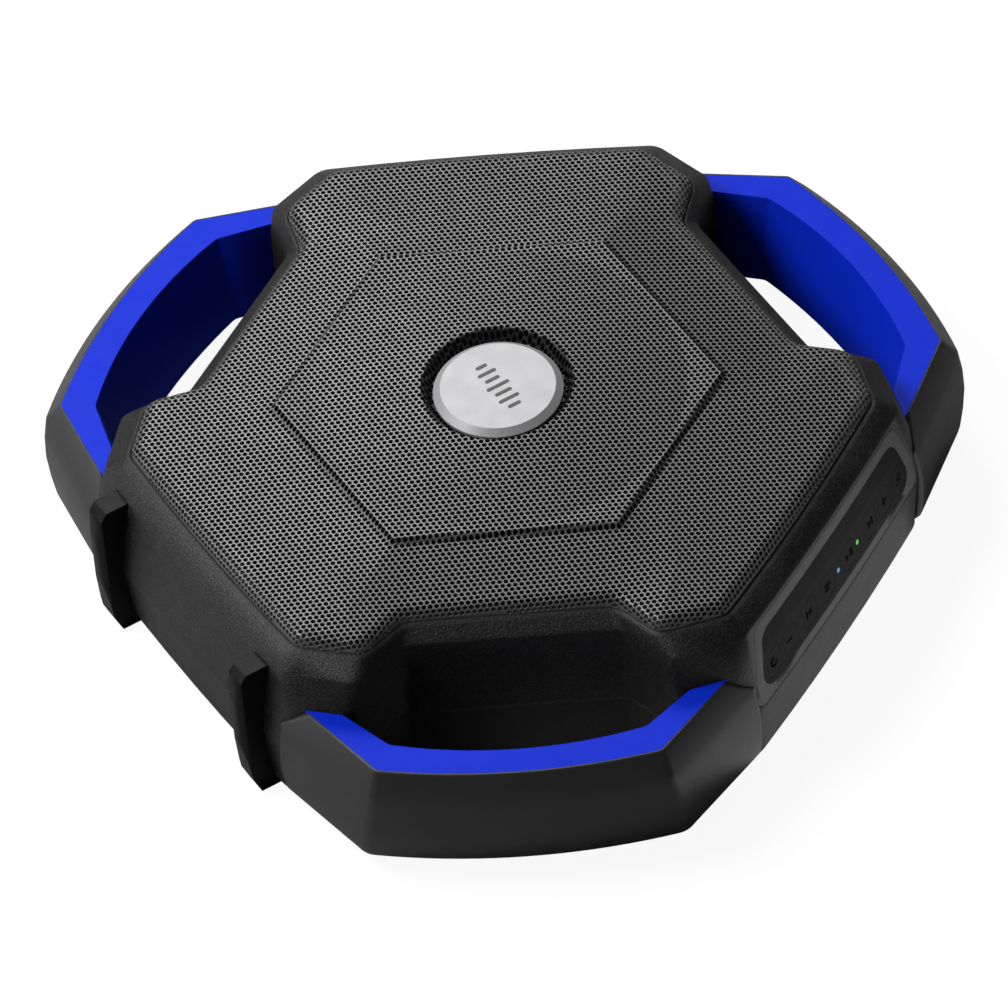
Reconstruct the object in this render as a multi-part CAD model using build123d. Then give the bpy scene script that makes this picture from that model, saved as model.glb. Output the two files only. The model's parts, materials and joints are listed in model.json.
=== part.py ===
"""Portable hexagonal party speaker with three grab handles, as an assembly of separate pieces.

Units are millimetres. The origin is the centre of the plane the speaker lies on. +Z points out of the
grille, +Y towards the top handle and -Y towards the two feet it stands on when it is upright.
Sides are named by the angle of their outward normal: handles at 90, 210 and 330 degrees, lobes at
30 (control panel), 150 (port door) and 270 (feet).
"""

import os
from math import cos, hypot, radians, sin

from build123d import *

# --- Overall layout ---------------------------------------------------------------------------------
HANDLE_SIDES = (90, 210, 330)
PANEL_SIDE = 30
PORT_SIDE = 150
FOOT_SIDE = 270
LOBE_SIDES = (PANEL_SIDE, PORT_SIDE, FOOT_SIDE)

# --- Body outline: distance from the axis to each side line -----------------------------------------
LOBE_REACH = 139.3      # outer side of a lobe, at the grille's edge
LOBE_BULGE = 1.8        # how far that side bows out
END_REACH = 144.5       # slanted end of a lobe
END_SLANT = 15          # its normal, from the handle's normal
FLANK_REACH = 51.8      # slanted wall of the hand hole
FLANK_SLANT = 45        # its normal, from the handle's normal
FLOOR_REACH = 116.8     # wall at the bottom of the hand hole

# --- Heights ----------------------------------------------------------------------------------------
SHELL_BOTTOM = 1.2      # underside of the rear shell, above the pads' feet
SEAM = 34.5             # parting plane of the two shells
CREASE = 74.0           # where the sloped rim meets the side walls
RIM_TOP = 80.0
GRILLE_SEAT = 78.5      # top of the baffle, which the grille's skirt stands on
BAFFLE_UNDER = 74.0
GRILLE_EDGE = 85.0      # where the grille's rolled edge ends and its slightly domed field begins
GRILLE_FIELD = 88.2     # foot of the step round the raised hexagon
HEXAGON_TOP = 90.5
DOME_TOP = 93.6         # lip of the dish round the badge, the highest point
BADGE_SEAT = 88.4
BADGE_SHOULDER = 89.6
BADGE_TOP = 92.0
WALL = 3.0
FLOOR_TOP = 4.2

# Body sections: height, then outward growth of lobe, end, flank and floor, then the corner radii
# of lobe, tip (end to flank) and floor.
RIM_SECTION = (RIM_TOP, 0.7, 0.7, 0.7, 0.7, 8, 9, 9)
CREASE_SECTION = (CREASE, 9.2, 10.5, 4.6, 7.5, 10, 8, 7)
WAIST_SECTION = (58.8, 12.2, 15.0, 5.0, 8.3, 12, 8, 7)
SEAM_SECTION = (SEAM, 15.6, 16.5, 5.0, 9.5, 13, 8, 7)
HEEL_SECTION = (7.0, 13.2, 13.8, 4.6, 9.8, 12, 8, 7)
EDGE_SECTION = (2.6, 10.6, 11.2, 2.8, 8.0, 11, 7, 7)
BASE_SECTION = (SHELL_BOTTOM, 7.4, 8.0, 0.6, 5.6, 10, 6, 7)

# --- Grille and badge -------------------------------------------------------------------------------
SHEET = 0.8
HEXAGON_RADIUS = 92.0   # circumradius of the raised hexagon
HEXAGON_FOOT_RADIUS = 94.6
FIELD_RADIUS = 124.0    # circumradius of the hexagon where the field starts to rise
DOME_RADIUS = 78.0      # foot of the shallow dome on the raised hexagon
DISH_RADIUS = 31.8      # lip of the dish round the badge
DISH_FLOOR_RADIUS = 27.8
BADGE_RADIUS = 27.0
BADGE_FACE_RADIUS = 24.0
CLOTH_GAP = 0.4
CLOTH_THICKNESS = 0.5

# --- Acoustic units ---------------------------------------------------------------------------------
UNIT_REACH = 78.0       # centre of each unit from the speaker's axis
FLANGE_RADIUS = 54.0
UNIT_HOLE = 47.0
FLANGE_SEAT = 76.5
FLANGE_THICKNESS = 2.5
CONE_RADIUS = 38.0
RADIATOR_RADIUS = 34.0
COIL_RADIUS = 12.7
MAGNET_RADIUS = 32.0
MAGNET_TOP = 51.0
MAGNET_BOTTOM = 37.0
UNIT_SCREW_CIRCLE = 50.6
FIT = 0.3               # plan gap between separate mouldings

# --- Fasteners --------------------------------------------------------------------------------------
SCREW_RADIUS = 1.5
PILOT_RADIUS = 1.54
CLEARANCE_RADIUS = 1.8
HEAD_RADIUS = 2.8
HEAD_HEIGHT = 2.2
SHELL_SCREW_SEAT = 18.0
COUNTERBORE_RADIUS = 3.4

# --- Handles, in the frame of one handle: X along the side, Y outwards ------------------------------
HANDLE_TOP = 58.8
HANDLE_SILL = 15.8      # underside of the grip, top of the shell's bottom plate
GRIP_OUTER = ((57.9, 177.6), (85.0, 143.3))     # corner and end of the line between grip and shell
GRIP_OUTER_REACH = 183.8
GRIP_INNER = ((52.5, 164.2), (70.5, 146.5))     # the grip's inner edge at the top
GRIP_INNER_REACH = 171.6
GRIP_FOOT = ((50.0, 157.5), (64.5, 143.5))      # the grip's inner edge at the sill
GRIP_FOOT_REACH = 162.3
GRIP_WALL = 3.0
GRIP_LEVELS = (HANDLE_SILL, 24.0, 33.0, 42.0, 50.0, 55.0)   # heights that shape the inner wall
BAR_OUTER = ((61.0, 184.6), (97.6, 138.3))      # crease round the shell: corner and end of a leg
BAR_REACH = 191.9
# Shell sections under the top edge: height, how far the long run and the legs stand out from the
# crease, how far the inner edge has gone outwards, and the radius of the outer corner.
BAR_SECTIONS = (
    (49.0, 0.0, 0.0, 0.0, 8),
    (40.0, 0.8, 1.7, 0.0, 9),
    (31.0, 0.3, 2.5, 0.0, 9),
    (22.0, -1.5, 2.2, 0.0, 9),
    (14.0, -3.8, 1.4, 1.0, 9),
    (11.5, -4.7, 0.8, 2.6, 9),
    (10.0, -5.3, 0.2, 4.0, 9),
    (8.6, -6.4, -1.0, 5.8, 9),
    (7.8, -8.4, -3.4, 7.8, 9),
)
LEG_END_REACH = 172.0   # distance from the axis, along a lobe end's normal, that a leg is solid to

# --- Feet -------------------------------------------------------------------------------------------
FOOT_OFFSET = 55.2
FOOT_WIDTH = 9.6
FOOT_REACH = 165.0
FOOT_TOP = 70.8

# --- Control panel and port door, in the frame of a facet: X along it, Y up the slope, Z outwards ---
FACET_REACH = 153.6
FACET_HEIGHT = 54.2
FACET_TILT = 9.2
BEZEL_DEPTH = 4.5
BEZEL = (-19.0, 18.6, 73.0, 62.0)       # low and high edge, half length at each
INLAY = (-14.8, 13.2, 66.5, 58.5)
BUTTON_PLACES = (-55.0, -41.5, -25.0, -9.0, 10.0, 29.0, 42.5, 56.0)
BUTTON_NAMES = ("power", "volume_down", "previous", "source", "play", "next", "volume_up", "lights")
BUTTON_ROW = -5.6
BUTTON_WIDTH = 10.8
BUTTON_HEIGHT = 12.0
BUTTON_GAP = 0.15
BUTTON_HEAD = 3.7
STEM_RADIUS = 2.0
STEM_END = 9.4
LENS_RADIUS = 1.1
BLUE_LENS_PLACE = 0.5
GREEN_LENS_PLACE = 17.6
PANEL_BACK = 8.0
BUTTON_BOARD_FACE = 14.0
BOARD_THICKNESS = 1.6

DOOR = (-11.5, 12.5, 38.0)              # hinge line, top edge, half length
DOOR_THICKNESS = 3.0
DOOR_GAP = 0.3
DOOR_AXIS_DEPTH = 1.6
DOOR_KNUCKLE = 1.4
DOOR_SWING = 2.2        # room below the hinge line for the door's lower edge as it turns
DOOR_PIN_RADIUS = 0.8
DOOR_BORE_RADIUS = 0.86
POCKET = (-9.0, 10.0, 33.5)
POCKET_DEPTH = 16.0
PORT_PLATE_FACE = 13.0
PORT_PLATE_BACK = 15.0


def polar(angle, distance):
    """Plan point at a distance from the axis in the direction of an angle."""
    return (distance * cos(radians(angle)), distance * sin(radians(angle)))


def crossing(first, second):
    """Plan point where two lines meet, each given by its normal's angle and its distance."""
    (angle1, reach1), (angle2, reach2) = first, second
    a1, b1 = cos(radians(angle1)), sin(radians(angle1))
    a2, b2 = cos(radians(angle2)), sin(radians(angle2))
    det = a1 * b2 - a2 * b1
    return ((reach1 * b2 - reach2 * b1) / det, (a1 * reach2 - a2 * reach1) / det)


def body_outline(section):
    """Face with the body's plan outline, three lobes and three hand-hole notches, for a section."""
    z, lobe, end, flank, floor, lobe_radius, tip_radius, floor_radius = section
    sides = []
    radii = []
    for handle in HANDLE_SIDES:
        sides += [
            (handle - END_SLANT, END_REACH + end),
            (handle + FLANK_SLANT, FLANK_REACH + flank),
            (handle, FLOOR_REACH + floor),
            (handle - FLANK_SLANT, FLANK_REACH + flank),
            (handle + END_SLANT, END_REACH + end),
            (handle + 60, LOBE_REACH + lobe),
        ]
        radii += [lobe_radius, tip_radius, floor_radius, floor_radius, tip_radius, lobe_radius]
    corners = [crossing(sides[i - 1], sides[i]) for i in range(len(sides))]
    edges = []
    for i, (angle, reach) in enumerate(sides):
        start = corners[i]
        finish = corners[(i + 1) % len(corners)]
        if i % 6 == 5:
            edges.append(ThreePointArc(start, polar(angle, reach + LOBE_BULGE), finish))
        else:
            edges.append(Line(start, finish))
    face = make_face(Wire(edges))
    for corner, radius in zip(corners, radii):
        vertex = face.vertices().sort_by_distance(Vector(*corner))[0]
        face = fillet(vertex, radius)
    return Pos(0, 0, z) * face


def body_loft(sections):
    """Solid through the body outlines of the given sections, straight from one to the next."""
    return loft([body_outline(section) for section in sections], ruled=True)


def grown(section, amount, z=None):
    """The same section with every side moved outwards by an amount, at another height if given."""
    height, *rest = section
    sides = [value + amount for value in rest[:4]]
    return (height if z is None else z, *sides, *rest[4:])


def bar(radius, low, high, place=(0, 0)):
    """Upright cylinder between two heights."""
    return Pos(place[0], place[1], (low + high) / 2) * Cylinder(radius, high - low)


def pipe(outer, inner, low, high, place=(0, 0)):
    """Upright tube between two heights."""
    return bar(outer, low, high, place) - bar(inner, low - 1, high + 1, place)


def block(x_range, y_range, z_range):
    """Box between two limits on each axis."""
    size = [high - low for low, high in (x_range, y_range, z_range)]
    middle = [(high + low) / 2 for low, high in (x_range, y_range, z_range)]
    return Pos(*middle) * Box(*size)


def side_frame(angle):
    """Frame of one side: X along it, Y outwards, Z up."""
    return Rot(0, 0, angle - 90)


def facet_frame(angle):
    """Frame of a lobe's sloping outer face: X along it, Y up the slope, Z out of it."""
    x, y = polar(angle, FACET_REACH)
    return Pos(x, y, FACET_HEIGHT) * Rot(0, 0, angle + 90) * Rot(90 - FACET_TILT, 0, 0)


def trapezoid(low, high, low_half, high_half, radius):
    """Face with rounded corners, wider at one edge than at the other."""
    points = [(-low_half, low), (low_half, low), (high_half, high), (-high_half, high)]
    face = make_face(Polyline(*points, close=True))
    return fillet(face.vertices(), radius)


def prism(face, low, high):
    """Face swept along its frame's Z from one depth to another."""
    return Pos(0, 0, low) * extrude(face, high - low)


# --- Places that several pieces share ---------------------------------------------------------------
UNIT_PLACES = {side: polar(side, UNIT_REACH) for side in LOBE_SIDES}
POST_PLACES = []
for lobe_side in LOBE_SIDES:
    for across in (-62, 62):
        placed = side_frame(lobe_side) * Pos(across, 122, 0)
        POST_PLACES.append((placed.position.X, placed.position.Y))
POST_PLACES += [polar(handle_side, 104) for handle_side in HANDLE_SIDES]
PAD_PLACES = [(0, 0)]
for lobe_side in LOBE_SIDES:
    for across in (-42, 42):
        placed = side_frame(lobe_side) * Pos(across, 128, 0)
        PAD_PLACES.append((placed.position.X, placed.position.Y))
PAD_RADIUS = 9.0
PAD_DEPTH = 1.8

BATTERY = ((-40, 40), (-36, 24), (FLOOR_TOP, 27.0))
MAIN_BOARD = ((-42, 42), (46, 92), (12.0, 13.6))
MAIN_BOARD_PLACES = [(x, y) for x in (-38, 38) for y in (50, 88)]
BUTTON_BOARD_PLACES = [(x, y) for x in (-62, 62) for y in (-12, 4)]
FOOT_SCREW_HEIGHTS = (24.0, 48.0)
HANDLE_SCREW_HEIGHTS = (27.0, 45.0)
HANDLE_SCREW_START = (80.5, 144.42)     # where the screw line crosses the lobe's end, in a handle's frame


def handle_screw_line(handle, side, height):
    """Frame of one handle screw: its Z runs along the screw, from the body into the handle's leg."""
    x, y = HANDLE_SCREW_START
    turn = Rot(0, 0, -side * END_SLANT) * Rot(-90, 0, 0)
    return side_frame(handle) * Pos(side * x, y, height) * turn


def all_handle_screw_lines():
    """Frames of the twelve handle screws."""
    return [
        handle_screw_line(handle, side, height)
        for handle in HANDLE_SIDES
        for side in (-1, 1)
        for height in HANDLE_SCREW_HEIGHTS
    ]


def foot_screw_lines():
    """Frames of the four foot screws: Z runs outwards, from inside the body into the foot."""
    return [
        side_frame(FOOT_SIDE) * Pos(side * FOOT_OFFSET, 0, height) * Rot(-90, 0, 0)
        for side in (-1, 1)
        for height in FOOT_SCREW_HEIGHTS
    ]


# --- Shells -----------------------------------------------------------------------------------------
FRONT_BLANK = body_loft([SEAM_SECTION, WAIST_SECTION, CREASE_SECTION, RIM_SECTION])
REAR_BLANK = body_loft([BASE_SECTION, EDGE_SECTION, HEEL_SECTION, SEAM_SECTION])
PANEL_FRAME = facet_frame(PANEL_SIDE)
PORT_FRAME = facet_frame(PORT_SIDE)


def panel_skin(face, depth):
    """Piece of the control panel: the part of the body's own surface inside an outline, to a depth."""
    return FRONT_BLANK & (PANEL_FRAME * prism(face, -depth, 10))


def button_face(gap):
    """Outline of one button, grown by a gap."""
    return RectangleRounded(BUTTON_WIDTH + 2 * gap, BUTTON_HEIGHT + 2 * gap, 2.4 + gap)


def make_front_shell():
    """Front moulding: rim, baffle, lobe walls, screw posts, panel backing and port pocket."""
    cavity = body_loft([
        grown(SEAM_SECTION, -WALL),
        grown(WAIST_SECTION, -WALL),
        grown(CREASE_SECTION, -WALL - 1.6, BAFFLE_UNDER),
    ])
    panel_backing = PANEL_FRAME * block((-77, 77), (-18, 19.5), (-PANEL_BACK, 10))
    port_backing = PORT_FRAME * block((-46, 46), (-18, 17), (-POCKET_DEPTH, 10))
    cavity -= panel_backing
    cavity -= port_backing
    shell = FRONT_BLANK - cavity
    shell -= prism_between(grown(RIM_SECTION, FIT - 0.7), GRILLE_SEAT, RIM_TOP + 1)
    for place in UNIT_PLACES.values():
        shell += pipe(FLANGE_RADIUS + 1.5, UNIT_HOLE, 70.0, FLANGE_SEAT, place)
        shell -= bar(UNIT_HOLE, 60.0, RIM_TOP, place)
        shell -= bar(FLANGE_RADIUS + FIT, FLANGE_SEAT, RIM_TOP, place)
        for screw in unit_screw_places(place):
            shell -= bar(PILOT_RADIUS, 69.0, RIM_TOP, screw)
    shell += bar(7.0, GRILLE_SEAT - 1, BADGE_SEAT - SHEET)
    shell -= bar(PILOT_RADIUS + 0.2, BAFFLE_UNDER - 1, RIM_TOP + 10)
    for place in POST_PLACES:
        shell += bar(4.5, SEAM, BAFFLE_UNDER + 1, place)
        shell -= bar(PILOT_RADIUS, SEAM - 1, SEAM + 20, place)
    shell -= PANEL_FRAME * prism(trapezoid(*BEZEL, 5), -BEZEL_DEPTH, 12)
    for place in BUTTON_PLACES:
        shell -= PANEL_FRAME * (Pos(place, BUTTON_ROW, -PANEL_BACK) * Cylinder(STEM_RADIUS + 0.4, 12))
    for place in (BLUE_LENS_PLACE, GREEN_LENS_PLACE):
        shell -= PANEL_FRAME * (Pos(place, BUTTON_ROW, -PANEL_BACK) * Cylinder(LENS_RADIUS + 0.2, 12))
    for x, y in BUTTON_BOARD_PLACES:
        leg = bar(3.0, -BUTTON_BOARD_FACE, -PANEL_BACK + 1, (x, y))
        shell += PANEL_FRAME * (leg - bar(PILOT_RADIUS, -BUTTON_BOARD_FACE - 1, -PANEL_BACK - 1, (x, y)))
    shell -= PORT_FRAME * door_recess()
    for line in all_handle_screw_lines():
        if line.position.Z > SEAM:
            shell -= line * bar(CLEARANCE_RADIUS, -20, 14)
    for line in foot_screw_lines():
        if line.position.Z > SEAM:
            shell -= line * bar(CLEARANCE_RADIUS, 120, 160)
    return shell


def prism_between(section, low, high):
    """Upright prism of a body outline between two heights."""
    return extrude(body_outline((low, *section[1:])), high - low)


def unit_screw_places(place):
    """The four screw places round one acoustic unit."""
    return [
        (place[0] + dx, place[1] + dy)
        for dx, dy in (polar(turn, UNIT_SCREW_CIRCLE) for turn in (45, 135, 225, 315))
    ]


def make_rear_shell():
    """Rear tub: floor, walls, screw posts, battery stops and board standoffs."""
    cavity = body_loft([
        grown(BASE_SECTION, -WALL, FLOOR_TOP),
        grown(HEEL_SECTION, -WALL, 9.0),
        grown(SEAM_SECTION, -WALL),
    ])
    shell = REAR_BLANK - cavity
    shell -= seal_ring(SEAM - 1.2, SEAM + 1)
    for place in POST_PLACES:
        shell += bar(5.5, FLOOR_TOP - 1, SEAM, place)
        shell -= bar(CLEARANCE_RADIUS, 0, SEAM + 1, place)
        shell -= bar(COUNTERBORE_RADIUS, 0, SHELL_SCREW_SEAT, place)
    for place in PAD_PLACES:
        shell -= bar(PAD_RADIUS, 0, SHELL_BOTTOM + PAD_DEPTH, place)
    for place in MAIN_BOARD_PLACES:
        shell += bar(3.5, FLOOR_TOP - 1, MAIN_BOARD[2][0], place)
        shell -= bar(PILOT_RADIUS, FLOOR_TOP, MAIN_BOARD[2][0] + 1, place)
    for x in (-1, 1):
        shell += block(sorted((x * 41, x * 44)), (-30, 18), (FLOOR_TOP - 1, 12))
    shell -= base_relief()
    for line in all_handle_screw_lines():
        if line.position.Z < SEAM:
            shell -= line * bar(CLEARANCE_RADIUS, -20, 14)
    for line in foot_screw_lines():
        if line.position.Z < SEAM:
            shell -= line * bar(CLEARANCE_RADIUS, 120, 160)
    return shell


def base_relief():
    """Shallow hexagonal ring pressed into the underside."""
    ring = RegularPolygon(74, 6) - RegularPolygon(70, 6)
    return prism(ring, SHELL_BOTTOM - 1, SHELL_BOTTOM + 0.8)


def seal_ring(low, high):
    """Band that follows the seam, inside the shell wall."""
    outside = prism_between(grown(SEAM_SECTION, -0.9), low, high)
    inside = prism_between(grown(SEAM_SECTION, -2.1), low - 1, high + 1)
    return outside - inside


# --- Grille, badge and cloth ------------------------------------------------------------------------
def hexagon_frustum(low_radius, low, high_radius, high):
    """Six-sided frustum between two circumradii, on a plinth that reaches down into what it stands on."""
    foot = RegularPolygon(low_radius, 6)
    plinth = Pos(0, 0, low - 1) * extrude(foot, 1)
    return plinth + loft([Pos(0, 0, low) * foot, Pos(0, 0, high) * RegularPolygon(high_radius, 6)], ruled=True)


def grille_blank(shrink):
    """Closed form of the grille's outer face, or of its inner face when shrunk by the sheet."""
    drop = -shrink
    skirt = (GRILLE_SEAT, 0, 0, 0, 0, 8, 9, 9)
    field = body_loft([
        grown(skirt, -shrink, GRILLE_SEAT - (1 if shrink else 0)),
        grown(skirt, -shrink - 0.5, 81.6 + drop),
        grown(skirt, -shrink - 1.8, 83.9 + drop),
        grown(skirt, -shrink - 4.8, GRILLE_EDGE + drop),
    ])
    field += hexagon_frustum(FIELD_RADIUS, GRILLE_EDGE + drop, HEXAGON_FOOT_RADIUS, GRILLE_FIELD + drop)
    field += hexagon_frustum(HEXAGON_FOOT_RADIUS, GRILLE_FIELD + drop, HEXAGON_RADIUS, HEXAGON_TOP + drop)
    rise = DOME_TOP - HEXAGON_TOP
    field += Pos(0, 0, HEXAGON_TOP + drop + rise / 2) * Cone(DOME_RADIUS, DISH_RADIUS, rise)
    depth = DOME_TOP - BADGE_SEAT
    dish = Pos(0, 0, BADGE_SEAT + drop + depth / 2) * Cone(
        DISH_FLOOR_RADIUS + shrink, DISH_RADIUS + shrink, depth)
    return field - dish


def make_grille():
    """Formed sheet with a rolled edge, a raised hexagon and a dish for the badge."""
    sheet = grille_blank(0) - grille_blank(SHEET)
    return sheet - bar(CLEARANCE_RADIUS, 80, 95)


def make_cloth():
    """Thin damping cloth under the grille."""
    high = GRILLE_EDGE - SHEET - CLOTH_GAP
    edge = grown((0, 0, 0, 0, 0, 8, 6, 9), -8.0)
    return prism_between(edge, high - CLOTH_THICKNESS, high) - bar(7.4, 70, 95)


def make_badge():
    """Round plate with a bevelled edge, standing in the grille's dish."""
    plate = bar(BADGE_RADIUS, BADGE_SEAT, BADGE_SHOULDER)
    plate += Pos(0, 0, (BADGE_SHOULDER + BADGE_TOP) / 2) * Cone(
        BADGE_RADIUS, BADGE_FACE_RADIUS, BADGE_TOP - BADGE_SHOULDER)
    return plate - bar(PILOT_RADIUS, BADGE_SEAT - 1, BADGE_SEAT + 2.4)


def make_badge_screw():
    """Screw from inside the body, through the centre post into the badge."""
    return bar(HEAD_RADIUS, BAFFLE_UNDER - HEAD_HEIGHT, BAFFLE_UNDER) + bar(
        SCREW_RADIUS, BAFFLE_UNDER, BADGE_SEAT + 2.2)


# --- Acoustic units ---------------------------------------------------------------------------------
def turned(points):
    """Solid of revolution about Z from a closed outline of (radius, height) points."""
    outline = make_face(Polyline(*[(radius, 0, height) for radius, height in points], close=True))
    return revolve(outline, Axis.Z)


def basket():
    """Frame of a driver: flange, slotted cone frame and the plate that the magnet hangs from."""
    top = FLANGE_SEAT + FLANGE_THICKNESS
    shape = turned([
        (COIL_RADIUS + 1.0, MAGNET_TOP), (34, MAGNET_TOP), (34, MAGNET_TOP + 2), (46.6, 74.0),
        (46.6, FLANGE_SEAT), (FLANGE_RADIUS, FLANGE_SEAT), (FLANGE_RADIUS, top),
        (46.6, top), (46.6, FLANGE_SEAT + 1), (44.4, FLANGE_SEAT + 1), (44.4, 74.0),
        (32.4, MAGNET_TOP + 2), (COIL_RADIUS + 1.0, MAGNET_TOP + 2),
    ])
    window = Pos(40, 0, 64) * Box(24, 17, 12)
    for step in range(6):
        shape -= Rot(0, 0, 60 * step) * window
    return shape - screw_ring(PILOT_RADIUS + 0.2, 70, 85)


def screw_ring(radius, low, high):
    """Four bars on the unit's screw circle."""
    return Compound([bar(radius, low, high, place) for place in unit_screw_places((0, 0))])


def magnet():
    """Ferrite ring and pole with the gap that the voice coil runs in."""
    body = bar(MAGNET_RADIUS, MAGNET_BOTTOM, MAGNET_TOP)
    return body - pipe(COIL_RADIUS + 0.7, COIL_RADIUS - 0.9, 43, MAGNET_TOP + 1)


def cone():
    """Paper cone with its coil former and dust cap, as one glued piece."""
    shape = turned([
        (COIL_RADIUS - 0.4, 47), (COIL_RADIUS, 47), (COIL_RADIUS, 60), (CONE_RADIUS, 76.5),
        (CONE_RADIUS, 77.5), (CONE_RADIUS - 1, 77.5), (COIL_RADIUS + 1, 62), (10.4, 64.0),
        (6.4, 65.4), (0, 66), (0, 65.2), (6.2, 64.6), (10, 63.2), (COIL_RADIUS - 0.4, 61.4),
    ])
    return shape


def half_roll(inner, outer, base):
    """Rubber surround: a half-round roll between two radii."""
    middle = (inner + outer) / 2
    big = (outer - inner) / 2
    upper = ThreePointArc((inner, 0, base), (middle, 0, base + big), (outer, 0, base))
    lower = ThreePointArc((outer - 0.8, 0, base), (middle, 0, base + big - 0.8), (inner + 0.8, 0, base))
    outline = make_face(Wire([
        upper, Line((outer, 0, base), (outer - 0.8, 0, base)),
        lower, Line((inner + 0.8, 0, base), (inner, 0, base)),
    ]))
    return revolve(outline, Axis.Z)


def radiator_frame():
    """Ring that carries the bass radiator."""
    top = FLANGE_SEAT + FLANGE_THICKNESS
    return turned([
        (42.4, 70), (46.6, 70), (46.6, FLANGE_SEAT), (FLANGE_RADIUS, FLANGE_SEAT), (FLANGE_RADIUS, top),
        (46.6, top), (46.6, FLANGE_SEAT + 1), (42.4, FLANGE_SEAT + 1),
    ]) - screw_ring(PILOT_RADIUS + 0.2, 70, 85)


def radiator_diaphragm():
    """Stiff dished disc with a weight at its centre."""
    return turned([
        (0, 66), (15, 66), (15, 74.4), (RADIATOR_RADIUS, 76), (RADIATOR_RADIUS, 77.5),
        (RADIATOR_RADIUS - 3, 77.5), (26, 76.2), (0, 76.2),
    ])


def unit_screws():
    """Twelve screws that hold the three acoustic units to the baffle."""
    seat = FLANGE_SEAT + FLANGE_THICKNESS
    screws = []
    for place in UNIT_PLACES.values():
        for spot in unit_screw_places(place):
            screws.append(bar(HEAD_RADIUS, seat, seat + 1.6, spot) + bar(SCREW_RADIUS, 68, seat, spot))
    return screws


# --- Handles ----------------------------------------------------------------------------------------
def along_leg(corner, end, distance):
    """Point at a distance beyond the end of a leg's line."""
    dx, dy = end[0] - corner[0], end[1] - corner[1]
    scale = distance / hypot(dx, dy)
    return (end[0] + dx * scale, end[1] + dy * scale)


def mirrored(point):
    """The same point on the other half of the handle."""
    return (-point[0], point[1])


def c_outline(z, outer, outer_reach, inner, inner_reach, outer_radius, inner_radius, tip=()):
    """Face of the handle's C-shaped plan. Each edge is a bowed run, two corners and two legs."""
    outer_end = list(tip) or [along_leg(*outer, 16)]
    inner_end = along_leg(*inner, 16)
    right = [outer[0], *([outer[1]] if tip else []), *outer_end]
    edges = [ThreePointArc(mirrored(outer[0]), (0, outer_reach), outer[0])]
    for start, finish in zip(right, right[1:]):
        edges.append(Line(start, finish))
    edges.append(Line(right[-1], inner_end))
    edges.append(Line(inner_end, inner[0]))
    edges.append(ThreePointArc(inner[0], (0, inner_reach), mirrored(inner[0])))
    edges.append(Line(mirrored(inner[0]), mirrored(inner_end)))
    edges.append(Line(mirrored(inner_end), mirrored(right[-1])))
    left = [mirrored(point) for point in reversed(right)]
    for start, finish in zip(left, left[1:]):
        edges.append(Line(start, finish))
    face = make_face(Wire(edges))
    rounded = [(outer[0], outer_radius), (inner[0], inner_radius)]
    if tip:
        rounded.append((outer[1], 2))
    for point, radius in rounded:
        for corner in (point, mirrored(point)):
            vertex = face.vertices().sort_by_distance(Vector(*corner))[0]
            face = fillet(vertex, radius)
    return Pos(0, 0, z) * face


def grip_edge(height, shift):
    """Inner edge of the grip at a height, on a quarter sine from its top line to its foot line."""
    amount = sin(radians(90) * (HANDLE_TOP - height) / (HANDLE_TOP - HANDLE_SILL))

    def between(top, foot):
        return top + (foot - top) * amount + shift

    edge = tuple(tuple(map(between, top, foot)) for top, foot in zip(GRIP_INNER, GRIP_FOOT))
    return edge, between(GRIP_INNER_REACH, GRIP_FOOT_REACH)


def grip_blank(shift, top):
    """Space of the grip between the shell line and its inner wall, with that wall moved outwards."""
    levels = [level for level in GRIP_LEVELS if level < top] + [top]
    faces = []
    for level in levels:
        edge, reach = grip_edge(level, shift)
        faces.append(c_outline(level, GRIP_OUTER, GRIP_OUTER_REACH, edge, reach, 3, 6))
    return loft(faces, ruled=True)


def bar_tip(end):
    """Point inside the body, straight in from the end of the shell's outer face along the lobe's normal."""
    return (end[0] - 12 * sin(radians(60)), end[1] - 12 * cos(radians(60)))


def bar_line(run, leg):
    """Outer line of the shell with its long run and its legs moved outwards by two amounts."""
    corner, end = BAR_OUTER
    dx, dy = end[0] - corner[0], end[1] - corner[1]
    length = hypot(dx, dy)
    out_x, out_y = -dy / length, dx / length
    moved_corner = (corner[0] + (leg - out_y * run) / out_x, corner[1] + run)
    return moved_corner, (end[0] + out_x * leg, end[1] + out_y * leg)


def shell_blank():
    """Outer form of the handle's shell, from its top edge to its rounded underside."""
    top_line = tuple((x + 0.5, y + 0.5) for x, y in GRIP_OUTER)
    rows = [(HANDLE_TOP, top_line, GRIP_OUTER_REACH + 0.7, 0, 4)]
    for z, run, leg, lip, radius in BAR_SECTIONS:
        rows.append((z, bar_line(run, leg), BAR_REACH + run, lip, radius))
    faces = []
    for z, outer, reach, lip, radius in rows:
        inner = tuple((x + lip, y + lip) for x, y in GRIP_FOOT)
        tip = [bar_tip(outer[1])]
        faces.append(c_outline(z, outer, reach, inner, GRIP_FOOT_REACH + lip, radius, 6, tip))
    return loft(faces, ruled=True)


def handle_pieces():
    """Shell and grip of one handle, in the handle's own frame."""
    column_inner = ((10.0, 60.0), (24.0, 60.0))
    column = extrude(
        c_outline(HANDLE_SILL, GRIP_OUTER, GRIP_OUTER_REACH, column_inner, 60.5, 3, 2), 60)
    hollow = grip_blank(GRIP_WALL, HANDLE_TOP - GRIP_WALL)
    shell = shell_blank() - column
    for side in (-1, 1):
        leg = block(sorted((side * 20, side * 120)), (100, LEG_END_REACH), (0, HANDLE_TOP))
        shell += hollow & (Rot(0, 0, -side * END_SLANT) * leg)
    return shell, grip_blank(0, HANDLE_TOP) - hollow


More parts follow.
